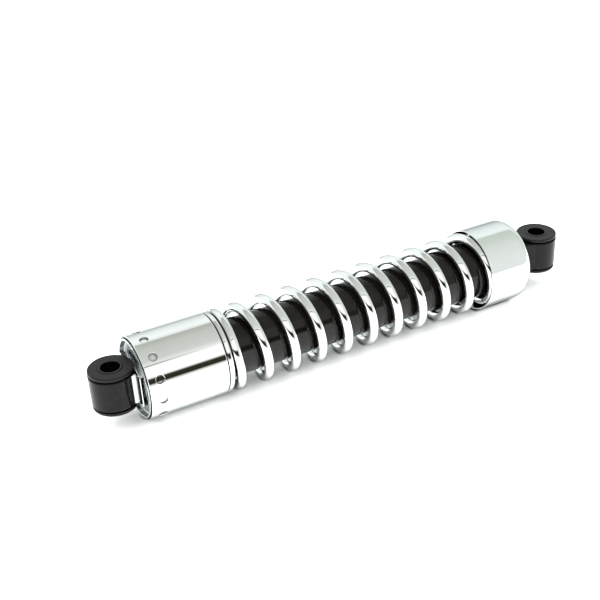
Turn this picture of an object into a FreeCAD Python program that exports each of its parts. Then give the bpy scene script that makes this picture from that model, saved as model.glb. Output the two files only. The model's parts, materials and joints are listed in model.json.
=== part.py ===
"""Rear shock absorber of a twin-shock motorcycle, lying on its side.

Frame: millimetres. The origin is the middle of the lower eye's bore, +X runs along the damper to the
upper eye, and +Z runs along the bores of both eyes. One STEP file is written for each sub-part.
"""
import FreeCAD, Part
import math
import os

V = FreeCAD.Vector
ORIGIN = V(0, 0, 0)
ALONG = V(1, 0, 0)
UP = V(0, 0, 1)

# ---------------------------------------------------------------- overall
EYE_TO_EYE = 374.65          # bore centre to bore centre, fully extended
STROKE = 64.0                # travel of the rod from topped out to bumped
RUN = 0.05                   # radial clearance of a running fit

# ---------------------------------------------------------------- eyes (both alike)
BORE_R = 7.0                 # inside of the steel bush sleeve
SLEEVE_WALL = 1.8
SLEEVE_PROUD = 0.25          # how far the sleeve stands out of the rubber at each side
SLEEVE_CHAMFER = 0.4
RING_R = 16.6
RING_WALL = 3.0
RING_LENGTH = 24.0
RING_ROUND = 0.9
FLANGE_THICKNESS = 2.5
FLANGE_ROUND = 1.1
FLANGE_STEP = 0.3            # the flange's edge lies this far inside the ring's outside
GROOVE_WIDTH = 1.0           # between the ring's end and the flange
GROOVE_DEPTH = 1.6           # under the flange's edge

# ---------------------------------------------------------------- lower end, along X from the ring
NECK_LENGTH = 3.4            # from the ring's outside to the end dish
NECK_PAD = 4.0               # straight part of the neck beside the dish
NECK_FLARE = 3.6             # curved part between the pad and the root
NECK_INSET = 3.4             # the root's side lies this far inside the ring's outside
NECK_EDGE_GAP = 1.2          # from the pad's corner to the dish's bend
DISH_THICKNESS = 1.6
DISH_DEPTH = 4.6             # from the dish's face to its lip
DISH_BEND = 5.0
DISH_GAP = 0.4               # between the dish and the adjuster sleeve
STUB_R = 11.0
STUB_THREAD_R = 9.0
STUB_LENGTH = 13.0
CAP_FLANGE = 4.4
CAP_SPIGOT = 10.0
CAP_FLOOR = 3.0

# ---------------------------------------------------------------- damper
TUBE_R = 21.5
TUBE_WALL = 1.5
PRESSURE_R = 14.0            # bore of the pressure tube
PRESSURE_WALL = 1.5
BASE_FLANGE = 2.0
BASE_VALVE_THICKNESS = 6.0
FEED_SLOT = 3.0
ROD_R = 6.2
ROD_THREAD_R = 5.0
GLAND_THICKNESS = 6.0
GLAND_ROUND = 1.0
GLAND_CLEARANCE = 0.3
PIN_HOLE_R = 2.0
SEAL_THICKNESS = 6.0
SEAL_R = 12.0
GUIDE_LENGTH = 20.0
GUIDE_SPIGOT = 8.0
GUIDE_BUSH_WALL = 1.75
RING_SEAL_R = 1.1            # section radius of the guide's sealing ring
TOP_OUT_LENGTH = 8.0
TOP_OUT_R = 11.0
PISTON_LENGTH = 14.0
PISTON_GAP = 0.15            # between the piston's lands and the pressure tube
BAND_WIDTH = 8.0
BAND_DEPTH = 1.5
SHIM_THICKNESS = 0.5
SHIM_RADII = (12.0, 10.0, 8.0)
PORT_COUNT = 6
PORT_R = 1.3
PORT_CIRCLE_R = 9.4
PISTON_NUT = 7.0
PISTON_NUT_FLATS = 17.0
ROD_TIP = 1.5                # thread showing below the piston nut

# ---------------------------------------------------------------- preload adjuster
ADJUSTER_LENGTH = 58.9
ADJUSTER_WALL = 1.4
ADJUSTER_STEP = 0.3          # the sleeve stands this far outside the collar
SLEEVE_LAP = 3.4             # how far the sleeve reaches past the dish's face, toward the eye
SPANNER_HOLES = 12
SPANNER_HOLE_R = 3.2
SPANNER_HOLE_IN = 8.9        # from the sleeve's open end to the holes' centres
SPANNER_PHASE = 7.0          # degrees from +Z toward -Y
EDGE_ROUND = 0.4
PRELOAD_LIFT = 8.0
PRELOAD_TURN = 150.0
CAM_FLANGE = 4.0
CAM_HEIGHT = 22.4            # from the dish's back to the ramp under a follower at the lowest setting
CAM_GAP = 1.25               # between the collar's skirt and the cam
RAMP_LEAD = 13.0             # degrees of ramp before the lowest setting
RAMP_TAIL = 12.0             # degrees of ramp past the highest setting
FOLLOWER_R = 2.5
FOLLOWER_ANGLE = 90.0        # the followers lie along Y
COLLAR_GAP = 0.1
COLLAR_THICKNESS = 4.9
COLLAR_LEDGE = 3.0           # how far the collar's edge stands outside the wire's centre line
COLLAR_ROUND = 1.2
SKIRT_WALL = 2.8
PILOT_HEIGHT = 4.5
KEY_WIDTH = 4.0
KEY_HEIGHT = 1.7
KEY_LENGTH = 20.0
KEYWAY_DEPTH_GAP = 0.2

# ---------------------------------------------------------------- spring
WIRE_R = 3.8
COIL_START_ANGLE = 72.0      # where the wire leaves the lower seat, from +Z toward -Y
COIL_END_ANGLE = 92.0        # where it reaches the upper seat
ACTIVE_TURNS = 11            # whole turns between those two places, less the part turn
END_COIL_ARC = 232.0         # degrees of wire lying flat on each seat
COIL_CLEARANCE = 1.3         # between the dust tube and the wire
PILOT_CLEARANCE = 0.5
COIL_GAP = 0.1               # between the wire and each seat's face

# ---------------------------------------------------------------- upper end
COVER_WALL = 1.0
COVER_CLEARANCE = 0.54       # between the wire and the cover
COVER_LENGTH = 42.7
COVER_FLAT = 0.44            # the cover's flat end reaches this far past the dust tube
SEAT_FACE_DEPTH = 13.0       # from the cover's closed end to the face that the spring pushes on
SEAT_FLANGE = 3.0
SEAT_GAP = 0.64              # between the seat's flange and the cover
SEAT_WALL = 1.4
SEAT_TOP = 3.0
SEAT_CHAMFER = 1.0
DUST_CLEARANCE = 0.4
DUST_WALL = 0.9
DUST_OVERLAP = 6.1           # dust tube's lap over the damper tube when extended
BUMP_LENGTH = 21.0
BUMP_SOLID = 7.4             # the bump stop's length when fully squeezed
BUMP_R = 13.0
BUMP_WAIST = 2.4
BUMP_WASHER = 1.0
BUMP_WASHER_R = 14.5
LOCK_NUT = 6.0
LOCK_NUT_FLATS = 19.0
UPPER_NECK_LENGTH = 4.55     # from the lock nut to the ring's outside
UPPER_NECK_HALF = 10.5
ROD_END_WALL = 0.6           # metal between the rod's end and the upper ring

# ---------------------------------------------------------------- radii that follow from the sizes
SLEEVE_R = BORE_R + SLEEVE_WALL
FLANGE_R = RING_R - FLANGE_STEP
GROOVE_R = FLANGE_R - GROOVE_DEPTH
BUSH_LENGTH = RING_LENGTH + 2 * (GROOVE_WIDTH + FLANGE_THICKNESS)
TUBE_BORE_R = TUBE_R - TUBE_WALL
GUIDE_BUSH_R = ROD_R + RUN + GUIDE_BUSH_WALL
DUST_BORE_R = TUBE_R + DUST_CLEARANCE
DUST_R = DUST_BORE_R + DUST_WALL
COIL_R = DUST_R + COIL_CLEARANCE + WIRE_R        # centre line of the wire
PILOT_R = COIL_R - WIRE_R - PILOT_CLEARANCE
COLLAR_R = COIL_R + COLLAR_LEDGE
ADJUSTER_R = COLLAR_R + ADJUSTER_STEP
ADJUSTER_BORE_R = ADJUSTER_R - ADJUSTER_WALL
COVER_BORE_R = COIL_R + WIRE_R + COVER_CLEARANCE
COVER_R = COVER_BORE_R + COVER_WALL
COVER_SHOULDER_R = COVER_R - DUST_R - COVER_FLAT
SEAT_FLANGE_R = COVER_BORE_R - SEAT_GAP
SKIRT_BORE_R = TUBE_R + RUN
SKIRT_R = SKIRT_BORE_R + SKIRT_WALL
CAM_INNER_R = SKIRT_R + CAM_GAP
DISH_R = ADJUSTER_BORE_R - DISH_GAP
DISH_FLAT_R = DISH_R - DISH_BEND
NECK_HEIGHT = RING_LENGTH
NECK_HALF = RING_R - NECK_INSET
NECK_FLARE_HALF = math.sqrt((DISH_FLAT_R - NECK_EDGE_GAP) ** 2 - (NECK_HEIGHT / 2) ** 2)

# ---------------------------------------------------------------- places along X that follow from the sizes
DISH_FACE_X = RING_R + NECK_LENGTH
DISH_BACK_X = DISH_FACE_X + DISH_THICKNESS
DISH_LIP_X = DISH_FACE_X - DISH_DEPTH
NECK_FLARE_X = DISH_FACE_X - NECK_PAD
NECK_START_X = NECK_FLARE_X - NECK_FLARE
TUBE_START_X = DISH_BACK_X + CAP_FLANGE
CAP_END_X = max(TUBE_START_X + CAP_SPIGOT, DISH_BACK_X + STUB_LENGTH + CAP_FLOOR)
PRESSURE_START_X = CAP_END_X + BASE_FLANGE
ADJUSTER_START_X = DISH_FACE_X - SLEEVE_LAP
ADJUSTER_END_X = ADJUSTER_START_X + ADJUSTER_LENGTH
SPANNER_HOLE_X = ADJUSTER_START_X + SPANNER_HOLE_IN
COLLAR_X = ADJUSTER_END_X + COLLAR_GAP
LOWER_SEAT_X = COLLAR_X + COLLAR_THICKNESS
LOWER_COIL_X = LOWER_SEAT_X + COIL_GAP + WIRE_R
UPPER_RING_X = EYE_TO_EYE - RING_R
UPPER_NECK_X = UPPER_RING_X - UPPER_NECK_LENGTH
ROD_END_X = UPPER_RING_X - ROD_END_WALL
COVER_END_X = UPPER_NECK_X - LOCK_NUT
COVER_RIM_X = COVER_END_X - COVER_LENGTH
COVER_FLOOR_X = COVER_END_X - COVER_WALL
UPPER_SEAT_X = COVER_END_X - SEAT_FACE_DEPTH
UPPER_COIL_X = UPPER_SEAT_X - COIL_GAP - WIRE_R
SEAT_PLATE_X = COVER_FLOOR_X - SEAT_TOP
BUMP_TOP_X = SEAT_PLATE_X - BUMP_WASHER
TUBE_END_X = BUMP_TOP_X - BUMP_SOLID - STROKE
GLAND_X = TUBE_END_X - GLAND_THICKNESS
SEAL_X = GLAND_X - SEAL_THICKNESS
GUIDE_X = GLAND_X - GUIDE_LENGTH
SPIGOT_X = GUIDE_X - GUIDE_SPIGOT
PISTON_TOP_X = SPIGOT_X - TOP_OUT_LENGTH - 2 * RUN
PISTON_BOTTOM_X = PISTON_TOP_X - PISTON_LENGTH
PISTON_NUT_X = PISTON_BOTTOM_X - SHIM_THICKNESS * len(SHIM_RADII) - PISTON_NUT

# ---------------------------------------------------------------- the preload ramps
CAM_RATE = PRELOAD_LIFT / PRELOAD_TURN           # mm of lift per degree
CAM_LOW_X = DISH_BACK_X + CAM_HEIGHT
RAMP_SPAN = RAMP_LEAD + PRELOAD_TURN + RAMP_TAIL
RAMP_LOW_X = CAM_LOW_X - CAM_RATE * RAMP_LEAD
RAMP_ROOT = 2.0                                  # ramp metal sunk in the cam's ring at the high end
RAMP_THICKNESS = CAM_RATE * RAMP_SPAN + RAMP_ROOT
RAMP_INSET = 0.2                                 # the ramps' sides lie this far inside the ring's
FOLLOWER_X = CAM_LOW_X + FOLLOWER_R + 3 * RUN
KEY_X = FOLLOWER_X + FOLLOWER_R
SKIRT_X = FOLLOWER_X - FOLLOWER_R - 2


# ---------------------------------------------------------------- helpers
def tube(start, end, bore, radius):
    """A plain tube about X."""
    body = Part.makeCylinder(radius, end - start, V(start, 0, 0), ALONG)
    if bore > 0:
        body = body.cut(Part.makeCylinder(bore, end - start + 2, V(start - 1, 0, 0), ALONG))
    return body


def outline(steps):
    """A closed wire in the (x, r) half plane; an arc step is (middle point, end point)."""
    edges = []
    here = V(*steps[0], 0)
    for step in steps[1:] + [steps[0]]:
        is_arc = isinstance(step[0], tuple)
        end = V(*(step[1] if is_arc else step), 0)
        if is_arc:
            edges.append(Part.Arc(here, V(*step[0], 0), end).toShape())
        elif here.distanceToPoint(end) > 1e-6:
            edges.append(Part.LineSegment(here, end).toShape())
        here = end
    return Part.Wire(edges)


def backwards(steps):
    """The same run of points and arcs, walked the other way."""
    ends = [s[1] if isinstance(s[0], tuple) else s for s in steps]
    result = [ends[-1]]
    for k in range(len(steps) - 1, 0, -1):
        is_arc = isinstance(steps[k][0], tuple)
        result.append((steps[k][0], ends[k - 1]) if is_arc else ends[k - 1])
    return result


def turned(steps, centre=ORIGIN, axis=ALONG):
    """The outline turned about X, or its copy about Z through centre."""
    solid = Part.Face(outline(steps)).revolve(ORIGIN, ALONG, 360)
    if axis == UP:
        solid.rotate(ORIGIN, V(0, 1, 0), -90)
        solid.translate(centre)
    return solid


def corner(centre, radius, degrees):
    """A point on a fillet's circle in the (x, r) half plane."""
    angle = math.radians(degrees)
    return (centre[0] + radius * math.cos(angle), centre[1] + radius * math.sin(angle))


def hexagon(start, length, flats, bore):
    """A hexagon nut about X with its corners turned off at both ends."""
    corner_r = flats / math.sqrt(3)
    points = [V(start, corner_r * math.cos(math.radians(60 * k)), corner_r * math.sin(math.radians(60 * k)))
              for k in range(7)]
    prism = Part.Face(Part.makePolygon(points)).extrude(V(length, 0, 0))
    trim = corner_r - flats / 2
    edge = flats / 2 + 0.1
    end = start + length
    over = corner_r + 0.1
    round_off = turned([(start, 0), (start, edge), (start + trim, over),
                        (end - trim, over), (end, edge), (end, 0)])
    return prism.common(round_off).cut(Part.makeCylinder(bore, length + 2, V(start - 1, 0, 0), ALONG))


def angle_point(x, radius, degrees):
    """A point at a distance from the X axis, its angle counted from +Z toward -Y."""
    angle = math.radians(degrees)
    return V(x, -radius * math.sin(angle), radius * math.cos(angle))


def onto_x(body, start_angle):
    """Turn a helix about Z, which starts on +X, to lie about X and start at start_angle."""
    body.rotate(ORIGIN, V(0, 1, 0), 90)
    body.rotate(ORIGIN, ALONG, start_angle - 180)
    return body


def ring_of_ports(x, length):
    """Cylinders along X on the circle of the valve ports."""
    ports = []
    for k in range(PORT_COUNT):
        place = angle_point(x, PORT_CIRCLE_R, 360.0 * k / PORT_COUNT)
        ports.append(Part.makeCylinder(PORT_R, length, place, ALONG))
    return ports


def save(name, shape):
    """Write one node, and stop if it is not sound."""
    if not shape.isValid() or shape.Volume <= 0:
        raise RuntimeError(name + " is not a sound solid")
    shape.exportStep("parts/" + name + ".step")


# ---------------------------------------------------------------- eyes
def eye_ring(x):
    half = RING_LENGTH / 2
    bore = RING_R - RING_WALL
    near = (half - RING_ROUND, RING_R - RING_ROUND)
    far = (-near[0], near[1])
    return turned([(-half, bore), (-half, near[1]), (corner(far, RING_ROUND, 135), (far[0], RING_R)),
                   (near[0], RING_R), (corner(near, RING_ROUND, 45), (half, near[1])), (half, bore)],
                  V(x, 0, 0), UP)


def rubber_bush(x):
    bore = SLEEVE_R + RUN
    inside = RING_R - RING_WALL
    ring_end = RING_LENGTH / 2
    face = BUSH_LENGTH / 2
    flange = face - FLANGE_THICKNESS
    top = (face - FLANGE_ROUND, FLANGE_R - FLANGE_ROUND)
    low = (-top[0], top[1])
    return turned([(-face, bore), (-face, low[1]), (corner(low, FLANGE_ROUND, 135), (low[0], FLANGE_R)),
                   (-flange, FLANGE_R), (-flange, GROOVE_R), (-ring_end, GROOVE_R), (-ring_end, inside),
                   (ring_end, inside), (ring_end, GROOVE_R), (flange, GROOVE_R), (flange, FLANGE_R),
                   (top[0], FLANGE_R), (corner(top, FLANGE_ROUND, 45), (face, top[1])), (face, bore)],
                  V(x, 0, 0), UP)


def bush_sleeve(x):
    half = BUSH_LENGTH / 2 + SLEEVE_PROUD
    edge = SLEEVE_CHAMFER
    return turned([(-half, BORE_R + edge), (-half, SLEEVE_R - edge), (edge - half, SLEEVE_R),
                   (half - edge, SLEEVE_R), (half, SLEEVE_R - edge), (half, BORE_R + edge),
                   (half - edge, BORE_R), (edge - half, BORE_R)], V(x, 0, 0), UP)


def neck_block(side):
    """A flat block NECK_HEIGHT tall; side is its outline's +Y half as (x, y) steps."""
    mirrored = [((s[0][0], -s[0][1]), (s[1][0], -s[1][1])) if isinstance(s[0], tuple) else (s[0], -s[1])
                for s in side]
    block = Part.Face(outline(side + backwards(mirrored))).extrude(V(0, 0, NECK_HEIGHT))
    block.translate(V(0, 0, -NECK_HEIGHT / 2))
    return block


def lower_eye_neck():
    """Flared block between the ring and the end dish, with a threaded stub through the dish."""
    hollow = V(NECK_START_X, NECK_HALF, 0)
    middle = (hollow.x + 0.72 * (NECK_FLARE_X - NECK_START_X),
              hollow.y + 0.28 * (NECK_FLARE_HALF - NECK_HALF))
    block = neck_block([(NECK_START_X - RING_R / 2, NECK_HALF), (NECK_START_X, NECK_HALF),
                        (middle, (NECK_FLARE_X, NECK_FLARE_HALF)), (DISH_FACE_X, NECK_FLARE_HALF)])
    block = block.cut(Part.makeCylinder(RING_R, 2 * NECK_HEIGHT, V(0, 0, -NECK_HEIGHT), UP))
    stub = tube(DISH_FACE_X - 1, DISH_BACK_X, 0, STUB_R)
    thread = tube(DISH_FACE_X - 1, DISH_BACK_X + STUB_LENGTH, 0, STUB_THREAD_R)
    return block.fuse([stub, thread]).removeSplitter()


def upper_eye_neck():
    """Waisted block between the lock nut and the upper ring, threaded for the rod."""
    side_x = EYE_TO_EYE - math.sqrt(RING_R ** 2 - NECK_HALF ** 2)
    middle = (UPPER_NECK_X + 0.6 * (side_x - UPPER_NECK_X),
              UPPER_NECK_HALF + 0.25 * (NECK_HALF - UPPER_NECK_HALF))
    block = neck_block([(UPPER_NECK_X, UPPER_NECK_HALF), (middle, (side_x, NECK_HALF)),
                        (side_x + RING_R / 2, NECK_HALF)])
    block = block.cut(Part.makeCylinder(RING_R, 2 * NECK_HEIGHT, V(EYE_TO_EYE, 0, -NECK_HEIGHT), UP))
    return block.cut(tube(UPPER_NECK_X - 1, ROD_END_X, 0, ROD_THREAD_R))


# ---------------------------------------------------------------- damper body
def end_dish():
    """Pressed dish that closes the adjuster's open end and carries its thrust."""
    centre = (DISH_BACK_X - DISH_BEND, DISH_FLAT_R)
    inner_bend = DISH_BEND - DISH_THICKNESS
    return turned([(DISH_FACE_X, STUB_R), (DISH_BACK_X, STUB_R), (DISH_BACK_X, DISH_FLAT_R),
                   (corner(centre, DISH_BEND, 45), (centre[0], DISH_R)), (DISH_LIP_X, DISH_R),
                   (DISH_LIP_X, DISH_R - DISH_THICKNESS), (centre[0], DISH_R - DISH_THICKNESS),
                   (corner(centre, inner_bend, 45), (DISH_FACE_X, DISH_FLAT_R))])


def tube_bottom_cap():
    end = CAP_END_X
    hole_end = DISH_BACK_X + STUB_LENGTH
    return turned([(DISH_BACK_X, STUB_THREAD_R), (DISH_BACK_X, TUBE_R), (TUBE_START_X, TUBE_R),
                   (TUBE_START_X, TUBE_BORE_R), (end, TUBE_BORE_R), (end, 0), (hole_end, 0),
                   (hole_end, STUB_THREAD_R)])


def damper_tube():
    return tube(TUBE_START_X, TUBE_END_X, TUBE_BORE_R, TUBE_R)


def pressure_tube():
    return tube(PRESSURE_START_X, GUIDE_X, PRESSURE_R, PRESSURE_R + PRESSURE_WALL)


def base_valve():
    """Flanged disc in the foot of the pressure tube, with ports and feed slots."""
    flange = tube(CAP_END_X, PRESSURE_START_X, 0, PRESSURE_R + PRESSURE_WALL)
    disc = tube(PRESSURE_START_X, PRESSURE_START_X + BASE_VALVE_THICKNESS, 0, PRESSURE_R)
    body = flange.fuse(disc).removeSplitter()
    total = BASE_FLANGE + BASE_VALVE_THICKNESS
    body = body.cut(ring_of_ports(CAP_END_X - 1, total + 2))
    reach = PRESSURE_R + PRESSURE_WALL + 1
    for k in range(3):
        slot = Part.makeBox(BASE_FLANGE / 2, FEED_SLOT, reach, V(CAP_END_X, -FEED_SLOT / 2, 0))
        slot.rotate(ORIGIN, ALONG, 120 * k + 60)
        body = body.cut(slot)
    return body


def rod_guide():
    """Guide that closes the pressure tube, with a seal pocket and a groove for its sealing ring."""
    groove_half = RING_SEAL_R * 1.4
    groove_x = (GUIDE_X + SEAL_X) / 2
    floor = TUBE_BORE_R - 2 * RING_SEAL_R
    return turned([(SPIGOT_X, GUIDE_BUSH_R), (SPIGOT_X, PRESSURE_R),
                   (GUIDE_X, PRESSURE_R), (GUIDE_X, TUBE_BORE_R), (groove_x - groove_half, TUBE_BORE_R),
                   (groove_x - groove_half, floor),
                   (groove_x + groove_half, floor), (groove_x + groove_half, TUBE_BORE_R),
                   (GLAND_X, TUBE_BORE_R), (GLAND_X, SEAL_R), (SEAL_X, SEAL_R), (SEAL_X, GUIDE_BUSH_R)])


def guide_bush():
    return tube(SPIGOT_X, SEAL_X, ROD_R + RUN, GUIDE_BUSH_R)


def guide_seal_ring():
    ring = Part.makeTorus(TUBE_BORE_R - RING_SEAL_R, RING_SEAL_R, ORIGIN, ALONG)
    ring.translate(V((GUIDE_X + SEAL_X) / 2, 0, 0))
    return ring


def rod_seal():
    """Lip seal: a ring with a groove in its oil side."""
    lip = ROD_R + RUN
    middle = (lip + SEAL_R) / 2
    depth = SEAL_THICKNESS * 0.6
    return turned([(SEAL_X, lip), (SEAL_X, middle - 1.2), (SEAL_X + depth, middle - 0.5),
                   (SEAL_X + depth, middle + 0.5), (SEAL_X, middle + 1.2), (SEAL_X, SEAL_R),
                   (GLAND_X, SEAL_R), (GLAND_X, lip)])


def gland_nut():
    """Ring screwed into the tube's end, with two pin holes."""
    round_centre = (TUBE_END_X - GLAND_ROUND, TUBE_BORE_R - GLAND_ROUND)
    body = turned([(GLAND_X, ROD_R + GLAND_CLEARANCE), (GLAND_X, TUBE_BORE_R), (round_centre[0], TUBE_BORE_R),
                   (corner(round_centre, GLAND_ROUND, 45), (TUBE_END_X, round_centre[1])),
                   (TUBE_END_X, ROD_R + GLAND_CLEARANCE)])
    for side in (-1, 1):
        place = V(TUBE_END_X - GLAND_THICKNESS / 2, 0, side * (TUBE_BORE_R + ROD_R) / 2)
        body = body.cut(Part.makeCylinder(PIN_HOLE_R, GLAND_THICKNESS, place, ALONG))
    return body


def key_box(length, start, width, height):
    """A block lying on the damper tube's underside."""
    return Part.makeBox(length, width, height + 1, V(start, -width / 2, -TUBE_R - height))


def collar_key():
    bed = tube(KEY_X - 1, KEY_X + KEY_LENGTH + 1, 0, TUBE_R)
    return key_box(KEY_LENGTH, KEY_X, KEY_WIDTH, KEY_HEIGHT).cut(bed)


# ---------------------------------------------------------------- preload adjuster
def adjuster_sleeve():
    """Chrome sleeve with a row of spanner holes."""
    ends = [(ADJUSTER_START_X, 1), (ADJUSTER_END_X, -1)]
    steps = []
    for x, inward in ends:
        outer = (x + inward * EDGE_ROUND, ADJUSTER_R - EDGE_ROUND)
        inner = (x + inward * EDGE_ROUND, ADJUSTER_BORE_R + EDGE_ROUND)
        left = inward > 0
        low = [(inner[0], ADJUSTER_BORE_R), (corner(inner, EDGE_ROUND, 225 if left else 315), (x, inner[1])),
               (x, outer[1]), (corner(outer, EDGE_ROUND, 135 if left else 45), (outer[0], ADJUSTER_R))]
        steps += low if left else backwards(low)
    body = turned(steps)
    for k in range(SPANNER_HOLES):
        angle = SPANNER_PHASE + 360.0 * k / SPANNER_HOLES
        start = angle_point(SPANNER_HOLE_X, ADJUSTER_BORE_R - 2, angle)
        body = body.cut(Part.makeCylinder(SPANNER_HOLE_R, ADJUSTER_WALL + 6, start, angle_point(0, 1, angle)))
    return body


def ramp(start_angle):
    """One helical ramp, rising as its angle grows, from start_angle counted from +Z toward -Y."""
    inner = CAM_INNER_R + RAMP_INSET
    outer = ADJUSTER_BORE_R - RAMP_INSET
    middle = (inner + outer) / 2
    helix = Part.makeHelix(CAM_RATE * 360, CAM_RATE * RAMP_SPAN, middle)
    low = -RAMP_THICKNESS
    corners = [V(inner, 0, low), V(outer, 0, low), V(outer, 0, 0), V(inner, 0, 0), V(inner, 0, low)]
    section = Part.makePolygon(corners)
    body = Part.Wire(helix).makePipeShell([section], True, True)
    body = onto_x(body, start_angle)
    body.translate(V(RAMP_LOW_X, 0, 0))
    return body


def preload_cam():
    """Ring pressed in the sleeve, with two ramps that the followers climb."""
    base_top = RAMP_LOW_X - RAMP_INSET
    inner_flange = TUBE_R + DUST_CLEARANCE
    start = DISH_BACK_X + 2 * RUN
    base = turned([(start, inner_flange), (start, ADJUSTER_BORE_R), (base_top, ADJUSTER_BORE_R),
                   (base_top, CAM_INNER_R), (start + CAM_FLANGE, CAM_INNER_R),
                   (start + CAM_FLANGE, inner_flange)])
    first = FOLLOWER_ANGLE - RAMP_LEAD
    return base.fuse([ramp(first), ramp(first + 180)]).removeSplitter()


def follower_pin(side, radius, start_r, end_r):
    return Part.makeCylinder(radius, end_r - start_r, V(FOLLOWER_X, side * start_r, 0), V(0, side, 0))


def cam_followers():
    start_r = TUBE_R + DUST_CLEARANCE
    end_r = ADJUSTER_BORE_R - 4 * RAMP_INSET
    return Part.makeCompound([follower_pin(side, FOLLOWER_R, start_r, end_r) for side in (-1, 1)])


def spring_collar():
    """Spring seat ring with a skirt that slides on the damper tube and a pilot inside the first coil."""
    low = (COLLAR_X + COLLAR_ROUND, COLLAR_R - COLLAR_ROUND)
    high = (LOWER_SEAT_X - COLLAR_ROUND, COLLAR_R - COLLAR_ROUND)
    body = turned([(SKIRT_X, SKIRT_BORE_R), (SKIRT_X, SKIRT_R), (COLLAR_X, SKIRT_R), (COLLAR_X, low[1]),
                   (corner(low, COLLAR_ROUND, 135), (low[0], COLLAR_R)), (high[0], COLLAR_R),
                   (corner(high, COLLAR_ROUND, 45), (LOWER_SEAT_X, high[1])), (LOWER_SEAT_X, PILOT_R),
                   (LOWER_SEAT_X + PILOT_HEIGHT, PILOT_R), (LOWER_SEAT_X + PILOT_HEIGHT, SKIRT_BORE_R)])
    holes = [follower_pin(side, FOLLOWER_R, SKIRT_BORE_R - 1, SKIRT_R + 1) for side in (-1, 1)]
    keyway_length = KEY_X + KEY_LENGTH - SKIRT_X + 2
    keyway = key_box(keyway_length, SKIRT_X - 1, KEY_WIDTH + 2 * RUN, KEY_HEIGHT + KEYWAY_DEPTH_GAP)
    return body.cut(holes).cut(keyway)


# ---------------------------------------------------------------- spring
def end_coil(x, start_angle):
    """Wire lying flat on a seat for END_COIL_ARC degrees from start_angle, counted from +Z toward -Y."""
    start = angle_point(x, COIL_R, start_angle)
    circle = Part.Circle(start, ALONG.cross(start - V(x, 0, 0)), WIRE_R)
    return Part.Face(Part.Wire(circle.toShape())).revolve(V(x, 0, 0), ALONG, END_COIL_ARC)


def coil_spring():
    """Right-handed helix between two flat end coils, with a ball over each bend."""
    turns = ACTIVE_TURNS + (COIL_END_ANGLE - COIL_START_ANGLE) / 360.0
    height = UPPER_COIL_X - LOWER_COIL_X
    section = Part.Wire(Part.Circle(V(COIL_R, 0, 0), V(0, 1, 0), WIRE_R).toShape())
    active = Part.Wire(Part.makeHelix(height / turns, height, COIL_R)).makePipeShell([section], True, True)
    active = onto_x(active, COIL_START_ANGLE)
    active.translate(V(LOWER_COIL_X, 0, 0))
    ends = [end_coil(LOWER_COIL_X, COIL_START_ANGLE - END_COIL_ARC), end_coil(UPPER_COIL_X, COIL_END_ANGLE)]
    balls = [Part.makeSphere(WIRE_R + 0.8 * COIL_GAP, angle_point(x, COIL_R, angle))
             for x, angle in ((LOWER_COIL_X, COIL_START_ANGLE), (UPPER_COIL_X, COIL_END_ANGLE))]
    joined = active.fuse(ends + balls)
    return joined.Solids[0] if len(joined.Solids) == 1 else joined


# ---------------------------------------------------------------- rod, piston and upper end
def piston_rod():
    """Ground rod, stepped down at both ends for the piston and for the eye."""
    low_end = PISTON_NUT_X - ROD_TIP
    return tube(PISTON_TOP_X, SEAT_PLATE_X, 0, ROD_R).fuse(
        [tube(low_end, PISTON_TOP_X + 1, 0, ROD_THREAD_R), tube(SEAT_PLATE_X - 1, ROD_END_X, 0, ROD_THREAD_R)]
    ).removeSplitter()


def piston():
    groove_half = BAND_WIDTH / 2 + RUN
    middle = (PISTON_TOP_X + PISTON_BOTTOM_X) / 2
    land = PRESSURE_R - PISTON_GAP
    floor = PRESSURE_R - BAND_DEPTH
    body = turned([(PISTON_BOTTOM_X, ROD_THREAD_R), (PISTON_BOTTOM_X, land), (middle - groove_half, land),
                   (middle - groove_half, floor), (middle + groove_half, floor), (middle + groove_half, land),
                   (PISTON_TOP_X, land), (PISTON_TOP_X, ROD_THREAD_R)])
    return body.cut(ring_of_ports(PISTON_BOTTOM_X - 1, PISTON_LENGTH + 2))


def piston_band():
    middle = (PISTON_TOP_X + PISTON_BOTTOM_X) / 2
    half = BAND_WIDTH / 2
    return tube(middle - half, middle + half, PRESSURE_R - BAND_DEPTH + RUN, PRESSURE_R - RUN)


def valve_shims():
    """Stack of thin discs under the piston, each smaller than the one above."""
    discs = []
    for k, radius in enumerate(SHIM_RADII):
        top = PISTON_BOTTOM_X - k * SHIM_THICKNESS
        discs.append(tube(top - SHIM_THICKNESS, top, ROD_THREAD_R, radius))
    return Part.makeCompound(discs)


def piston_nut():
    return hexagon(PISTON_NUT_X, PISTON_NUT, PISTON_NUT_FLATS, ROD_THREAD_R)


def top_out_bumper():
    start = PISTON_TOP_X
    return tube(start, start + TOP_OUT_LENGTH, ROD_R, TOP_OUT_R)


def bump_washer():
    return tube(BUMP_TOP_X, SEAT_PLATE_X, ROD_R, BUMP_WASHER_R)


def bump_stop():
    """Waisted rubber buffer on the rod."""
    start = BUMP_TOP_X - BUMP_LENGTH
    third = BUMP_LENGTH / 3
    waist = BUMP_R - BUMP_WAIST
    return turned([(start, ROD_R), (start, waist),
                   ((start + third / 2, BUMP_R - 0.5), (start + third, waist)),
                   ((start + 1.5 * third, BUMP_R), (start + 2 * third, waist)),
                   ((start + 2.5 * third, BUMP_R), (BUMP_TOP_X, waist)), (BUMP_TOP_X, ROD_R)])


def dust_tube():
    start = TUBE_END_X - DUST_OVERLAP
    return tube(start, SEAT_PLATE_X, DUST_BORE_R, DUST_R)


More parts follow.
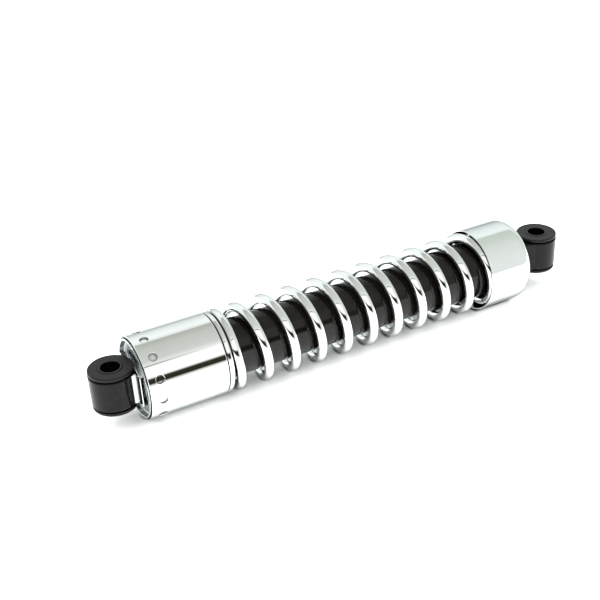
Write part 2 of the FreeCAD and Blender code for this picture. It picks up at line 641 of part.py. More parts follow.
def upper_spring_seat():
    """Pressed seat: a flange for the spring, a cup around the dust tube and a plate clamped on the rod."""
    cup = DUST_R + SEAT_WALL
    edge = SEAT_CHAMFER
    flange_end = UPPER_SEAT_X + SEAT_FLANGE
    return turned([(UPPER_SEAT_X, DUST_R), (UPPER_SEAT_X, SEAT_FLANGE_R), (flange_end, SEAT_FLANGE_R),
                   (flange_end, cup), (COVER_FLOOR_X - edge, cup), (COVER_FLOOR_X, cup - edge),
                   (COVER_FLOOR_X, ROD_THREAD_R), (SEAT_PLATE_X, ROD_THREAD_R), (SEAT_PLATE_X, DUST_R)])


def upper_cover():
    """Chrome cup over the spring's upper end, with a rounded shoulder."""
    centre = (COVER_END_X - COVER_SHOULDER_R, COVER_R - COVER_SHOULDER_R)
    inner_shoulder = COVER_SHOULDER_R - COVER_WALL
    half = COVER_WALL / 2
    rim = (COVER_RIM_X + half, COVER_R - half)
    return turned([(COVER_END_X, ROD_THREAD_R), (COVER_END_X, centre[1]),
                   (corner(centre, COVER_SHOULDER_R, 45), (centre[0], COVER_R)), (rim[0], COVER_R),
                   ((COVER_RIM_X, rim[1]), (rim[0], COVER_BORE_R)), (centre[0], COVER_BORE_R),
                   (corner(centre, inner_shoulder, 45), (COVER_FLOOR_X, centre[1])),
                   (COVER_FLOOR_X, ROD_THREAD_R)])


def lock_nut():
    return hexagon(COVER_END_X, LOCK_NUT, LOCK_NUT_FLATS, ROD_THREAD_R)


def main():
    os.makedirs("parts", exist_ok=True)
    for place, x in (("lower", 0.0), ("upper", EYE_TO_EYE)):
        save(place + "_eye_ring", eye_ring(x))
        save(place + "_rubber_bush", rubber_bush(x))
        save(place + "_bush_sleeve", bush_sleeve(x))
    makers = [lower_eye_neck, end_dish, tube_bottom_cap, damper_tube, pressure_tube, base_valve, rod_guide,
              guide_bush, guide_seal_ring, rod_seal, gland_nut, collar_key, adjuster_sleeve, preload_cam,
              cam_followers, spring_collar, coil_spring, piston_rod, piston, piston_band, valve_shims,
              piston_nut, top_out_bumper, bump_washer, bump_stop, dust_tube, upper_spring_seat, upper_cover,
              lock_nut, upper_eye_neck]
    for make in makers:
        save(make.__name__, make())


main()
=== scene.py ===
import json
import math

import bpy
import numpy as np
from bpy.props import FloatProperty, FloatVectorProperty, IntProperty, PointerProperty
from mathutils import Matrix, Vector


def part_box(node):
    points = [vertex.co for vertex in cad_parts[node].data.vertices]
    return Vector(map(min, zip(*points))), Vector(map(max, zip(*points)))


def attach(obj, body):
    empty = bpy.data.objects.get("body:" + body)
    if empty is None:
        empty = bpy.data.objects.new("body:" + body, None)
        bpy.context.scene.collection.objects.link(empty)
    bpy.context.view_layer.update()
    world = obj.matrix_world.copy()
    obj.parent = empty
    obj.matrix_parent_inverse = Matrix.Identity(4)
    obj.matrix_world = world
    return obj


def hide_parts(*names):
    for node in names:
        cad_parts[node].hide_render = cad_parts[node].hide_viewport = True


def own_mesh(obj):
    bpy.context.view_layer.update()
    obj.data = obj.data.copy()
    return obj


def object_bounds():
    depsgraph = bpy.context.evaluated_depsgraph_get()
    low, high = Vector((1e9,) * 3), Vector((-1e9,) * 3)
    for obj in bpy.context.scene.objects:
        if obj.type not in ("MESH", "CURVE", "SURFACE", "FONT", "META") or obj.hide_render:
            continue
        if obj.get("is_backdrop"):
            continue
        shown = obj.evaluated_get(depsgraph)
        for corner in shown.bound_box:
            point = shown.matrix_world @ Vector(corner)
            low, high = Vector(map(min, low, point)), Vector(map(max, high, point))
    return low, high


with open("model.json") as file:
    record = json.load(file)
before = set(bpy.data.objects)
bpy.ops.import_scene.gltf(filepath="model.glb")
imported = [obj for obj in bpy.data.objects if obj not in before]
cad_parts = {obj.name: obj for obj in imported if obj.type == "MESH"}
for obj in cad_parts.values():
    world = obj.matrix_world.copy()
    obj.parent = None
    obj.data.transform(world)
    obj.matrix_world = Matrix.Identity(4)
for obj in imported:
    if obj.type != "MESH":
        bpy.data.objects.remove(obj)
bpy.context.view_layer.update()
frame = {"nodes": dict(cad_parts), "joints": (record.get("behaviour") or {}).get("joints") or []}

bl_info = {
    "name": "Rear shock absorber",
    "version": (1, 0, 0),
    "blender": (4, 5, 0),
    "location": "3D View > Sidebar > Shock",
    "description": "Builds the smooth surfaces and finishes of a chromed coil-over shock absorber",
    "category": "Add Mesh",
}

MM = 0.001
SMALL_ROUND = 0.3 * MM       # round on edges that are just broken
LIP_ROUND = 0.5 * MM         # round on the lip of the pressed dish
WIRE_CHAMFER = 0.3 * MM      # length of the small chamfer at each end of a wire
RING_LAP = 0.4 * MM          # how far a neck reaches into its ring
TUBE_STEPS = 160             # faces round a tube
WIDE_STEPS = 192             # faces round the widest pieces


# ---------------------------------------------------------------- values a user would change
def length(name, text, millimetres):
    """A length property, given in millimetres."""
    return FloatProperty(name=name, description=text, default=millimetres * MM, unit="LENGTH", precision=5)


def angle(name, text, degrees):
    """An angle property, given in degrees."""
    return FloatProperty(name=name, description=text, default=math.radians(degrees), unit="ROTATION")


def colour(name, text, red, green, blue):
    """A linear colour property."""
    return FloatVectorProperty(name=name, description=text, default=(red, green, blue), size=3,
                               subtype="COLOR", min=0, max=1)


def vector(name, text, kind, *values):
    """A property of three numbers."""
    return FloatVectorProperty(name=name, description=text, default=values, size=3, subtype=kind)


class EyeSizes(bpy.types.PropertyGroup):
    """Sizes of the two mounting eyes."""
    sleeve_wall: length("Sleeve wall", "Wall of the steel bush sleeve", 1.8)
    sleeve_edge: length("Sleeve edge", "Round at the ends of the sleeve", 0.4)
    ring_wall: length("Ring wall", "Wall of the steel eye ring", 3.0)
    ring_round: length("Ring round", "Round along the ends of the ring", 1.1)
    flange_thickness: length("Flange thickness", "Thickness of the rubber flange", 2.5)
    flange_round: length("Flange round", "Round along the rubber flange", 1.1)
    groove_depth: length("Groove depth", "How far the groove lies under the flange's edge", 1.6)
    lip_round: length("Lip round", "Small round where the rubber meets the sleeve", 0.5)


class NeckSizes(bpy.types.PropertyGroup):
    """Sizes of the blocks between the eyes and the damper."""
    root_inset: length("Root inset", "How far the neck's side lies inside the ring's outside", 3.4)
    pad: length("Pad", "Straight part of the lower neck beside the dish", 4.0)
    flare: length("Flare", "Curved part between the root and the pad", 3.6)
    upper_half: length("Upper half width", "Half the upper neck's width at the lock nut", 10.5)
    edge_round: length("Edge round", "Round along the block's edges", 1.0)


class AdjusterSizes(bpy.types.PropertyGroup):
    """Sizes of the chromed preload adjuster and the dish that closes it."""
    wall: length("Wall", "Wall of the adjuster sleeve", 1.4)
    edge: length("Edge round", "Round at the sleeve's ends", 0.7)
    holes: IntProperty(name="Spanner holes", description="Number of spanner holes", default=12, min=3)
    hole_radius: length("Hole radius", "Radius of a spanner hole", 3.2)
    hole_in: length("Hole distance", "From the open end to the middle of the holes", 8.9)
    hole_depth: length("Hole depth", "Depth of a spanner hole", 1.3)
    hole_rim: length("Hole rim", "Round at the rim of a hole", 0.35)
    hole_phase: angle("Hole phase", "Angle of the first hole from straight up", 7.0)
    tile_half: length("Tile half length", "Half the length of the surface tile round a hole", 5.4)
    dish_wall: length("Dish wall", "Thickness of the pressed dish", 1.6)
    dish_bend: length("Dish bend", "Outer radius of the dish's bend", 5.0)
    dish_bore: length("Dish bore", "Radius of the hole in the dish", 11.0)


class SpringSizes(bpy.types.PropertyGroup):
    """Sizes of the coil spring and of the collar that carries it."""
    wire_radius: length("Wire radius", "Radius of the spring wire", 3.8)
    start: angle("Start", "Angle where the wire leaves the lower seat", 72.0)
    turn: angle("Active turns", "Angle of wire between the two seats", 3980.0)
    flat: angle("End coils", "Angle of wire that lies flat on each seat", 232.0)
    bend: angle("Bend", "Half the angle over which the wire bends onto a seat", 12.0)
    split: angle("Split", "Angle of wire from the lower seat to the place hidden by the cover", 3668.0)
    seat_gap: length("Seat gap", "Gap between wire and seat", 0.1)
    collar_thickness: length("Collar thickness", "Thickness of the collar that the spring sits on", 4.4)
    collar_round: length("Collar round", "Round along the collar's edges", 1.6)
    skirt_wall: length("Skirt wall", "Wall of the collar's skirt", 2.8)
    pilot_inset: length("Pilot inset", "How far the collar's pilot lies inside its edge", 7.3)
    key_half: length("Key half width", "Half the width of the keyway in the collar", 2.05)
    key_depth: length("Key depth", "Depth of the keyway in the collar", 1.9)


class CoverSizes(bpy.types.PropertyGroup):
    """Sizes of the upper cover, the dust tube and the bump stop."""
    wall: length("Cover wall", "Wall of the chromed cover", 1.0)
    shoulder: length("Shoulder radius", "Radius of the cover's shoulder", 10.0)
    rim_round: length("Rim round", "Round at the cover's open rim", 0.35)
    rod_bore: length("Rod bore", "Radius of the hole for the rod", 5.0)
    dust_wall: length("Dust tube wall", "Wall of the dust tube", 0.9)
    stop_waist: length("Stop waist", "Depth of the grooves round the bump stop", 2.4)
    stop_length: length("Stop length", "Free length of the bump stop", 21.0)
    stop_solid: length("Stop solid length", "Length of the bump stop when fully squeezed", 7.2)
    stop_bore: length("Stop bore", "Radius of the bump stop's bore", 6.25)
    nut_edge: length("Nut edge", "Round on the lock nut's edges", 0.25)


class DamperSizes(bpy.types.PropertyGroup):
    """Sizes of the damper's outer tube."""
    wall: length("Tube wall", "Wall of the damper tube", 1.5)
    edge: length("Tube edge", "Round at the tube's ends", 0.5)


class FinishColours(bpy.types.PropertyGroup):
    """Main colours of the finishes."""
    chrome: colour("Chrome", "Bright chrome plate", 0.93, 0.94, 0.935)
    paint: colour("Gloss paint", "Gloss black paint on the tubes", 0.0030, 0.0026, 0.0022)
    eye_paint: colour("Eye paint", "Satin black on the eye rings", 0.0040, 0.0034, 0.0034)
    rubber: colour("Rubber", "Dark rubber of the bushes", 0.0075, 0.0062, 0.0066)
    steel: colour("Steel", "Ground steel of the rod and sleeves", 0.62, 0.61, 0.59)
    zinc: colour("Zinc", "Zinc plate with a cool tint", 0.76, 0.79, 0.80)
    bronze: colour("Bronze", "Bearing bronze", 0.52, 0.34, 0.16)
    foam: colour("Bump stop", "Cellular polyurethane", 0.42, 0.33, 0.17)


class StudioSizes(bpy.types.PropertyGroup):
    """Camera, floor and light."""
    camera_place: vector("Camera place", "Place of the camera from the lower eye", "TRANSLATION",
                         -0.15799, -0.60116, 0.40658)
    camera_aim: vector("Camera aim", "Direction that the camera looks along", "DIRECTION",
                       0.39632, 0.77287, -0.49559)
    camera_right: vector("Camera right", "Direction of the camera's right side", "DIRECTION",
                         0.87573, -0.48032, -0.04874)
    lens: FloatProperty(name="Lens", description="Focal length in millimetres", default=62.58)
    floor_reach: length("Floor reach", "Radius of the floor", 9000.0)
    sun: FloatProperty(name="Overhead light", description="Strength of the soft overhead light", default=6.0)
    sun_spread: angle("Light spread", "Apparent size of the overhead light", 100.0)


# ---------------------------------------------------------------- surfaces
def span(node):
    """Lowest and highest corners of a CAD node as arrays."""
    low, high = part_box(node)
    return np.array(low), np.array(high)


def filleted(points, rounds, closed=True, steps=6):
    """Points of a flat outline with every corner turned into an arc.

    At a corner P with unit directions u and v to its neighbours and an angle a between them, the arc of
    radius r starts at P + u r / tan(a/2), ends at P + v r / tan(a/2) and has its centre at
    P + (u + v) / |u + v| r / sin(a/2). One more point beyond each end keeps the flats flat in shading.
    """
    points = np.array(points, float)
    rounds = np.broadcast_to(rounds, len(points))
    found = []
    for k, (point, radius) in enumerate(zip(points, rounds)):
        if radius <= 0 or (not closed and k in (0, len(points) - 1)):
            found.append(point[None])
            continue
        u = points[k - 1] - point
        v = points[(k + 1) % len(points)] - point
        room = 0.49 * min(np.linalg.norm(u), np.linalg.norm(v))
        u = u / np.linalg.norm(u)
        v = v / np.linalg.norm(v)
        half = math.acos(np.clip(u @ v, -1, 1)) / 2
        reach = min(radius / math.tan(half), 0.8 * room)
        radius = reach * math.tan(half)
        centre = point + (u + v) / np.linalg.norm(u + v) * radius / math.sin(half)
        first = (point + u * reach - centre) / radius
        last = (point + v * reach - centre) / radius
        opening = math.acos(np.clip(first @ last, -1, 1))
        t = np.linspace(0, 1, steps + 1)[:, None]
        bow = (np.sin((1 - t) * opening) * first + np.sin(t * opening) * last) / math.sin(opening)
        edge = min(0.3 * reach, room - reach)
        found.append(np.concatenate([[point + u * (reach + edge)], centre + radius * bow,
                                     [point + v * (reach + edge)]]))
    return np.concatenate(found)


def around_x(outline, turns, centre=(0, 0, 0)):
    """A surface of revolution about X: (a, r) becomes (a, -r sin t, r cos t) for every angle t in turns."""
    along, radius = np.asarray(outline, float).T[:, :, None]
    grid = np.stack(np.broadcast_arrays(along, -radius * np.sin(turns), radius * np.cos(turns)), -1)
    return grid + np.array(centre)


def around_z(outline, turns, centre=(0, 0, 0)):
    """A surface of revolution about Z: (a, r) becomes (r cos t, r sin t, a) for every angle t in turns."""
    along, radius = np.asarray(outline, float).T[:, :, None]
    grid = np.stack(np.broadcast_arrays(radius * np.cos(turns), radius * np.sin(turns), along), -1)
    return grid + np.array(centre)


def looped(outline):
    """The outline with its first point repeated at the end, so that the surface it makes is closed."""
    return np.concatenate([outline, outline[:1]])


def pipe(node, inner, edge):
    """A tube about X over the length of a CAD node, with rounded ends."""
    low, high = span(node)
    outer = high[2]
    outline = filleted([(low[0], inner), (low[0], outer), (high[0], outer), (high[0], inner)], edge)
    return around_x(looped(outline), circle(TUBE_STEPS))


def circle(count, start=0.0):
    """Evenly spread angles of a full turn, the first one repeated at the end so that a grid closes."""
    return start + np.linspace(0, 2 * math.pi, count + 1)


def solid(name, grids, body, stands_for, finish, normals=None):
    """One closed piece from grids of points: cells become faces, points closer than a micron are one.

    A cell with two equal corners becomes a triangle. The faces turn outward: if the sum of p . (q x r) over
    the triangles is negative, every face is reversed.
    """
    corners = []
    faces = []
    count = 0
    for grid in grids:
        rows, columns = grid.shape[:2]
        index = count + np.arange(rows * columns).reshape(rows, columns)
        cell = [index[:-1, :-1], index[:-1, 1:], index[1:, 1:], index[1:, :-1]]
        faces.append(np.stack(cell, -1).reshape(-1, 4))
        corners.append(grid.reshape(-1, 3))
        count += rows * columns
    corners = np.concatenate(corners)
    faces = np.concatenate(faces)
    _, first, same = np.unique(np.round(corners / (0.001 * MM)).astype(np.int64), axis=0,
                               return_index=True, return_inverse=True)
    points = corners[first]
    faces = same.reshape(-1)[faces]
    repeat = faces == np.roll(faces, -1, 1)
    quads = faces[~repeat.any(1)]
    single = repeat.sum(1) == 1
    shift = np.argmax(repeat[single], 1)
    thin = faces[single]
    pick = (shift[:, None] + 1 + np.arange(3)) % 4
    triangles = np.take_along_axis(thin, pick, 1)
    split = np.concatenate([quads[:, [0, 1, 2]], quads[:, [0, 2, 3]], triangles])
    p, q, r = points[split[:, 0]], points[split[:, 1]], points[split[:, 2]]
    if np.einsum("ij,ij->", p, np.cross(q, r)) < 0:
        quads = quads[:, ::-1]
        triangles = triangles[:, ::-1]
    mesh = bpy.data.meshes.new(name)
    mesh.from_pydata(points.tolist(), [], quads.tolist() + triangles.tolist())
    mesh.shade_smooth()
    if normals is not None:
        facing = np.concatenate([n.reshape(-1, 3) for n in normals])
        mesh.normals_split_custom_set_from_vertices(facing[first])
    piece = bpy.data.objects.new(name, mesh)
    bpy.context.scene.collection.objects.link(piece)
    mesh.materials.append(finish)
    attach(piece, body)
    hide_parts(*stands_for)
    return piece


# ---------------------------------------------------------------- finishes
def noise(tree, scale, detail, roughness=0.5, stretch=(1, 1, 1)):
    """Object-space noise, with its grain stretched along the axes."""
    place = tree.nodes.new("ShaderNodeTexCoord")
    mapping = tree.nodes.new("ShaderNodeMapping")
    mapping.inputs["Scale"].default_value = stretch
    texture = tree.nodes.new("ShaderNodeTexNoise")
    texture.inputs["Scale"].default_value = scale
    texture.inputs["Detail"].default_value = detail
    texture.inputs["Roughness"].default_value = roughness
    tree.links.new(place.outputs["Object"], mapping.inputs["Vector"])
    tree.links.new(mapping.outputs["Vector"], texture.inputs["Vector"])
    return texture.outputs["Fac"]


def remap(tree, value, low, high, to_low, to_high):
    """A value carried from one range to another."""
    node = tree.nodes.new("ShaderNodeMapRange")
    node.inputs["From Min"].default_value = low
    node.inputs["From Max"].default_value = high
    node.inputs["To Min"].default_value = to_low
    node.inputs["To Max"].default_value = to_high
    tree.links.new(value, node.inputs["Value"])
    return node.outputs["Result"]


def product(tree, first, second):
    """Product of a socket and a number or another socket."""
    node = tree.nodes.new("ShaderNodeMath")
    node.operation = "MULTIPLY"
    tree.links.new(first, node.inputs[0])
    if isinstance(second, float):
        node.inputs[1].default_value = second
    else:
        tree.links.new(second, node.inputs[1])
    return node.outputs[0]


# Painted shade in crevices: how far the occlusion looks for nearby surfaces, and how dark the painted shade
# colour is.
PAINTED_SHADE_REACH = 2.6 * MM
PAINTED_SHADE_FACTOR = 0.07


def painted_crevice_shade(tree, unshaded_colour, painted_shade_colour):
    """The unshaded colour, darkened toward a painted shade colour where nearby surfaces close it in."""
    closed_in = tree.nodes.new("ShaderNodeAmbientOcclusion")
    closed_in.samples = 8
    closed_in.inputs["Distance"].default_value = PAINTED_SHADE_REACH
    mix = tree.nodes.new("ShaderNodeMix")
    mix.data_type = "RGBA"
    mix.inputs["A"].default_value = (*painted_shade_colour, 1)
    tree.links.new(remap(tree, closed_in.outputs["AO"], 0.48, 0.96, 0, 1), mix.inputs["Factor"])
    tree.links.new(unshaded_colour, mix.inputs["B"])
    return mix.outputs["Result"]


def finish(name, base, worn, metal, gloss, grain, relief, wear_scale=55, coat=0.0, specular=0.5,
           stretch=(1, 1, 1)):
    """A finish whose colour, gloss and surface all vary, with painted shade darkening its colour in crevices.

    base and worn are linear colours; gloss is the lowest and highest roughness; grain is the scale of the
    fine texture and relief its height.
    """
    made = bpy.data.materials.get(name)
    if made:
        return made
    made = bpy.data.materials.new(name)
    made.use_nodes = True
    tree = made.node_tree
    shader = tree.nodes["Principled BSDF"]
    shader.inputs["Metallic"].default_value = metal
    shader.inputs["Coat Weight"].default_value = coat
    shader.inputs["Coat Roughness"].default_value = 0.04
    shader.inputs["Specular IOR Level"].default_value = specular
    patches = noise(tree, wear_scale, 5, 0.6)
    fine = noise(tree, grain, 3, 0.6, stretch)
    blend = tree.nodes.new("ShaderNodeMix")
    blend.data_type = "RGBA"
    blend.inputs["A"].default_value = (*base, 1)
    blend.inputs["B"].default_value = (*worn, 1)
    tree.links.new(remap(tree, patches, 0.35, 0.75, 0, 1), blend.inputs["Factor"])
    # painted shade: the colour is darkened where the occlusion node finds nearby surfaces
    tree.links.new(painted_crevice_shade(tree, blend.outputs["Result"], shade(base, PAINTED_SHADE_FACTOR)),
                   shader.inputs["Base Color"])
    tree.links.new(remap(tree, patches, 0.3, 0.7, *gloss), shader.inputs["Roughness"])
    bump = tree.nodes.new("ShaderNodeBump")
    bump.inputs["Strength"].default_value = relief
    bump.inputs["Distance"].default_value = 0.05 * MM
    tree.links.new(fine, bump.inputs["Height"])
    tree.links.new(bump.outputs["Normal"], shader.inputs["Normal"])
    return made


def shade(rgb, factor):
    """A colour made lighter or darker."""
    return tuple(min(1.0, factor * c) for c in rgb)


def chrome():
    """Bright chrome plate, a little darker at grazing angles."""
    base = bpy.context.scene.shock_colours.chrome
    made = finish("bright_chrome", base, shade(base, 0.965), 1.0, (0.02, 0.05), 900, 0.015)
    made.node_tree.nodes["Principled BSDF"].inputs["Specular Tint"].default_value = (0.30, 0.32, 0.32, 1)
    return made


def gloss_paint():
    """Gloss black paint."""
    base = bpy.context.scene.shock_colours.paint
    return finish("gloss_black_paint", base, shade(base, 2.2), 0.0, (0.06, 0.14), 1400, 0.06, coat=0.2,
                  specular=0.14)


def eye_paint():
    """Satin black paint."""
    base = bpy.context.scene.shock_colours.eye_paint
    return finish("satin_black_paint", base, shade(base, 1.9), 0.0, (0.12, 0.22), 1500, 0.12, coat=0.1,
                  specular=0.10)


def rubber():
    """Moulded rubber with a fine grain."""
    base = bpy.context.scene.shock_colours.rubber
    return finish("moulded_rubber", base, shade(base, 1.5), 0.0, (0.34, 0.50), 1800, 0.35, specular=0.17)


def seal():
    """Darker rubber of the seals."""
    base = bpy.context.scene.shock_colours.rubber
    return finish("lip_rubber", shade(base, 0.5), base, 0.0, (0.5, 0.7), 1500, 0.3)


def ground_steel():
    """Steel ground along its length."""
    base = bpy.context.scene.shock_colours.steel
    return finish("polished_rod_steel", base, shade(base, 0.85), 1.0, (0.16, 0.30), 1200, 0.15,
                  stretch=(0.05, 1, 1))


def sleeve_steel():
    """Dark steel of the bush sleeves."""
    base = shade(bpy.context.scene.shock_colours.steel, 0.07)
    return finish("dark_sleeve_steel", base, shade(base, 0.7), 1.0, (0.25, 0.4), 900, 0.2,
                  stretch=(1, 1, 0.05))


def zinc():
    """Bright zinc plate."""
    base = bpy.context.scene.shock_colours.zinc
    return finish("bright_zinc", base, shade(base, 0.86), 1.0, (0.05, 0.11), 700, 0.06, wear_scale=140)


def painted_shade_dish_zinc():
    """Zinc plate with painted shade: the zinc colour darkened for the face of the dish."""
    # painted shade: a darker copy of the zinc that the neck also wears
    base = shade(bpy.context.scene.shock_colours.zinc, 0.66)
    return finish("painted_shade_dish_zinc", base, shade(base, 0.8), 1.0, (0.06, 0.14), 700, 0.08, wear_scale=140)


def aluminium():
    """Turned aluminium."""
    base = bpy.context.scene.shock_colours.steel
    return finish("turned_aluminium", shade(base, 1.2), base, 1.0, (0.3, 0.5), 600, 0.25)


def bronze():
    """Sintered bearing bronze."""
    base = bpy.context.scene.shock_colours.bronze
    return finish("sintered_bronze", base, shade(base, 0.7), 1.0, (0.3, 0.5), 900, 0.25)


def band():
    """Bronze-filled piston band."""
    base = bpy.context.scene.shock_colours.bronze
    return finish("filled_ptfe", shade(base, 0.25), shade(base, 0.4), 0.0, (0.4, 0.6), 900, 0.2)


def bump_foam():
    """Cellular foam of the bump stop."""
    base = bpy.context.scene.shock_colours.foam
    return finish("bump_stop_foam", base, shade(base, 0.7), 0.0, (0.6, 0.8), 2500, 0.8)


# ---------------------------------------------------------------- pieces
class SHOCK_OT_eyes(bpy.types.Operator):
    """Steel eye rings, rubber bushes and their sleeves at both ends"""
    bl_idname = "shock.eyes"
    bl_label = "Eyes"

    def execute(self, context):
        sizes = context.scene.shock_eye
        for end, body in (("lower", "damper_body"), ("upper", "rod_assembly")):
            self.ring(sizes, end, body)
            self.bush(sizes, end, body)
            self.sleeve(sizes, end)
        return {"FINISHED"}

    def ring(self, sizes, end, body):
        """A ring's outline turned about Z, its ends rounded."""
        low, high = span(end + "_eye_ring")
        centre = (low + high) / 2
        outer = (high[0] - low[0]) / 2
        half = (high[2] - low[2]) / 2
        inner = outer - sizes.ring_wall
        outline = filleted([(-half, inner), (half, inner), (half, outer), (-half, outer)],
                           [0.2 * MM, 0.2 * MM, sizes.ring_round, sizes.ring_round])
        grid = around_z(looped(outline), circle(TUBE_STEPS), (centre[0], 0, 0))
        solid(end + "_eye_ring_smooth", [grid], body, [end + "_eye_ring"], eye_paint())

    def bush(self, sizes, end, body):
        """A flange at each side of the ring, a groove under it and the liner inside the ring."""
        low, high = span(end + "_rubber_bush")
        ring_low, ring_high = span(end + "_eye_ring")
        centre = (low + high) / 2
        face = (high[2] - low[2]) / 2
        ring_end = (ring_high[2] - ring_low[2]) / 2
        flange = face - sizes.flange_thickness
        outer = (high[0] - low[0]) / 2
        groove = outer - sizes.groove_depth
        inside = (ring_high[0] - ring_low[0]) / 2 - sizes.ring_wall
        bore = (span(end + "_bush_sleeve")[1][1]) + 0.03 * MM
        small = 0.25 * MM
        half_outline = [(face, bore, sizes.lip_round), (face, outer, sizes.flange_round),
                        (flange, outer, small), (flange, groove, small), (ring_end, groove, small),
                        (ring_end, inside, small)]
        points = [(a, r) for a, r, _ in half_outline] + [(-a, r) for a, r, _ in half_outline[::-1]]
        rounds = [c for _, _, c in half_outline] + [c for _, _, c in half_outline[::-1]]
        outline = filleted(points, rounds)
        grid = around_z(looped(outline), circle(TUBE_STEPS), (centre[0], 0, 0))
        solid(end + "_rubber_bush_smooth", [grid], body, [end + "_rubber_bush"], rubber())

    def sleeve(self, sizes, end):
        """A plain steel tube about Z with rounded ends."""
        low, high = span(end + "_bush_sleeve")
        centre = (low + high) / 2
        outer = (high[0] - low[0]) / 2
        inner = outer - sizes.sleeve_wall
        half = (high[2] - low[2]) / 2
        outline = filleted([(-half, inner), (half, inner), (half, outer), (-half, outer)], sizes.sleeve_edge)
        grid = around_z(looped(outline), circle(96), (centre[0], 0, 0))
        solid(end + "_bush_sleeve_smooth", [grid], end + "_sleeve", [end + "_bush_sleeve"], sleeve_steel())


class SHOCK_OT_necks(bpy.types.Operator):
    """Blocks that join the eyes to the dish below and to the lock nut above"""
    bl_idname = "shock.necks"
    bl_label = "Necks"

    def execute(self, context):
        sizes = context.scene.shock_neck
        self.lower(sizes)
        self.upper(sizes)
        return {"FINISHED"}

    def block(self, name, rows, halves, height, sizes, eye_x, radius, far, body, finish_made, slot):
        """A block with rounded-rectangle sections whose near end follows the ring.

        A section of half width w at x has its points at (x', y, z), where x' is x moved along X so that the
        first section lies on the ring's cylinder, sqrt(radius^2 - y^2) from the eye, and the last stays flat.
        """
        side = 1.0 if far > eye_x else -1.0
        start = rows[0]
        grid = []
        for x, half in zip(rows, halves):
            outline = filleted([(-half, -height), (half, -height), (half, height), (-half, height)],
                               sizes.edge_round)
            y, z = looped(outline).T
            root = eye_x + side * np.sqrt(radius ** 2 - np.minimum(np.abs(y), radius * 0.98) ** 2)
            share = (x - start) / (far - start)
            grid.append(np.stack([root + (far - root) * share, y, z], -1))
        grid = np.array(grid)
        centres = grid[:, :-1].mean(1, keepdims=True) + 0 * grid
        grid = np.concatenate([centres[:1], grid, centres[-1:]])
        return solid(name, [grid], body, [name.replace("_smooth", "")], finish_made)

    def lower(self, sizes):
        """The flared block: straight at the root, a quarter-round flare, then a straight pad at the dish."""
        ring_low, ring_high = span("lower_eye_ring")
        radius = (ring_high[0] - ring_low[0]) / 2
        height = (ring_high[2] - ring_low[2]) / 2
        root = radius - sizes.root_inset
        wide = span("lower_eye_neck")[1][1]
        face = span("end_dish")[1][0] - bpy.context.scene.shock_adjuster.dish_wall
        pad_start = face - sizes.pad
        flare_start = pad_start - sizes.flare
        sunk = radius - RING_LAP
        first = math.sqrt(sunk ** 2 - root ** 2)
        t = np.linspace(0, 1, 12)
        rows = np.concatenate([[first], flare_start + sizes.flare * np.sin(t * math.pi / 2),
                               pad_start + sizes.pad * np.array([0.08, 0.5, 0.93, 1.0])])
        halves = np.concatenate([[root], root + (wide - root) * (1 - np.cos(t * math.pi / 2)),
                                 np.array([wide, wide, wide, wide - SMALL_ROUND])])
        self.block("lower_eye_neck_smooth", rows, halves, height, sizes, 0.0, sunk, face, "damper_body",
                   zinc(), "zinc_plate")

    def upper(self, sizes):
        """The waisted block, narrow at the lock nut and as wide as the root at the ring."""
        ring_low, ring_high = span("upper_eye_ring")
        eye_x = (ring_high[0] + ring_low[0]) / 2
        radius = (ring_high[0] - ring_low[0]) / 2
        height = (ring_high[2] - ring_low[2]) / 2
        root = radius - sizes.root_inset
        face = span("upper_eye_neck")[0][0]
        sunk = radius - RING_LAP
        first = eye_x - math.sqrt(sunk ** 2 - root ** 2)
        t = np.linspace(0, 1, 10)
        rows = first + (face - first) * t
        halves = root + (sizes.upper_half - root) * np.sin(t * math.pi / 2)
        self.block("upper_eye_neck_smooth", rows, halves, height, sizes, eye_x, sunk, face, "rod_assembly",
                   eye_paint(), "eye_black")


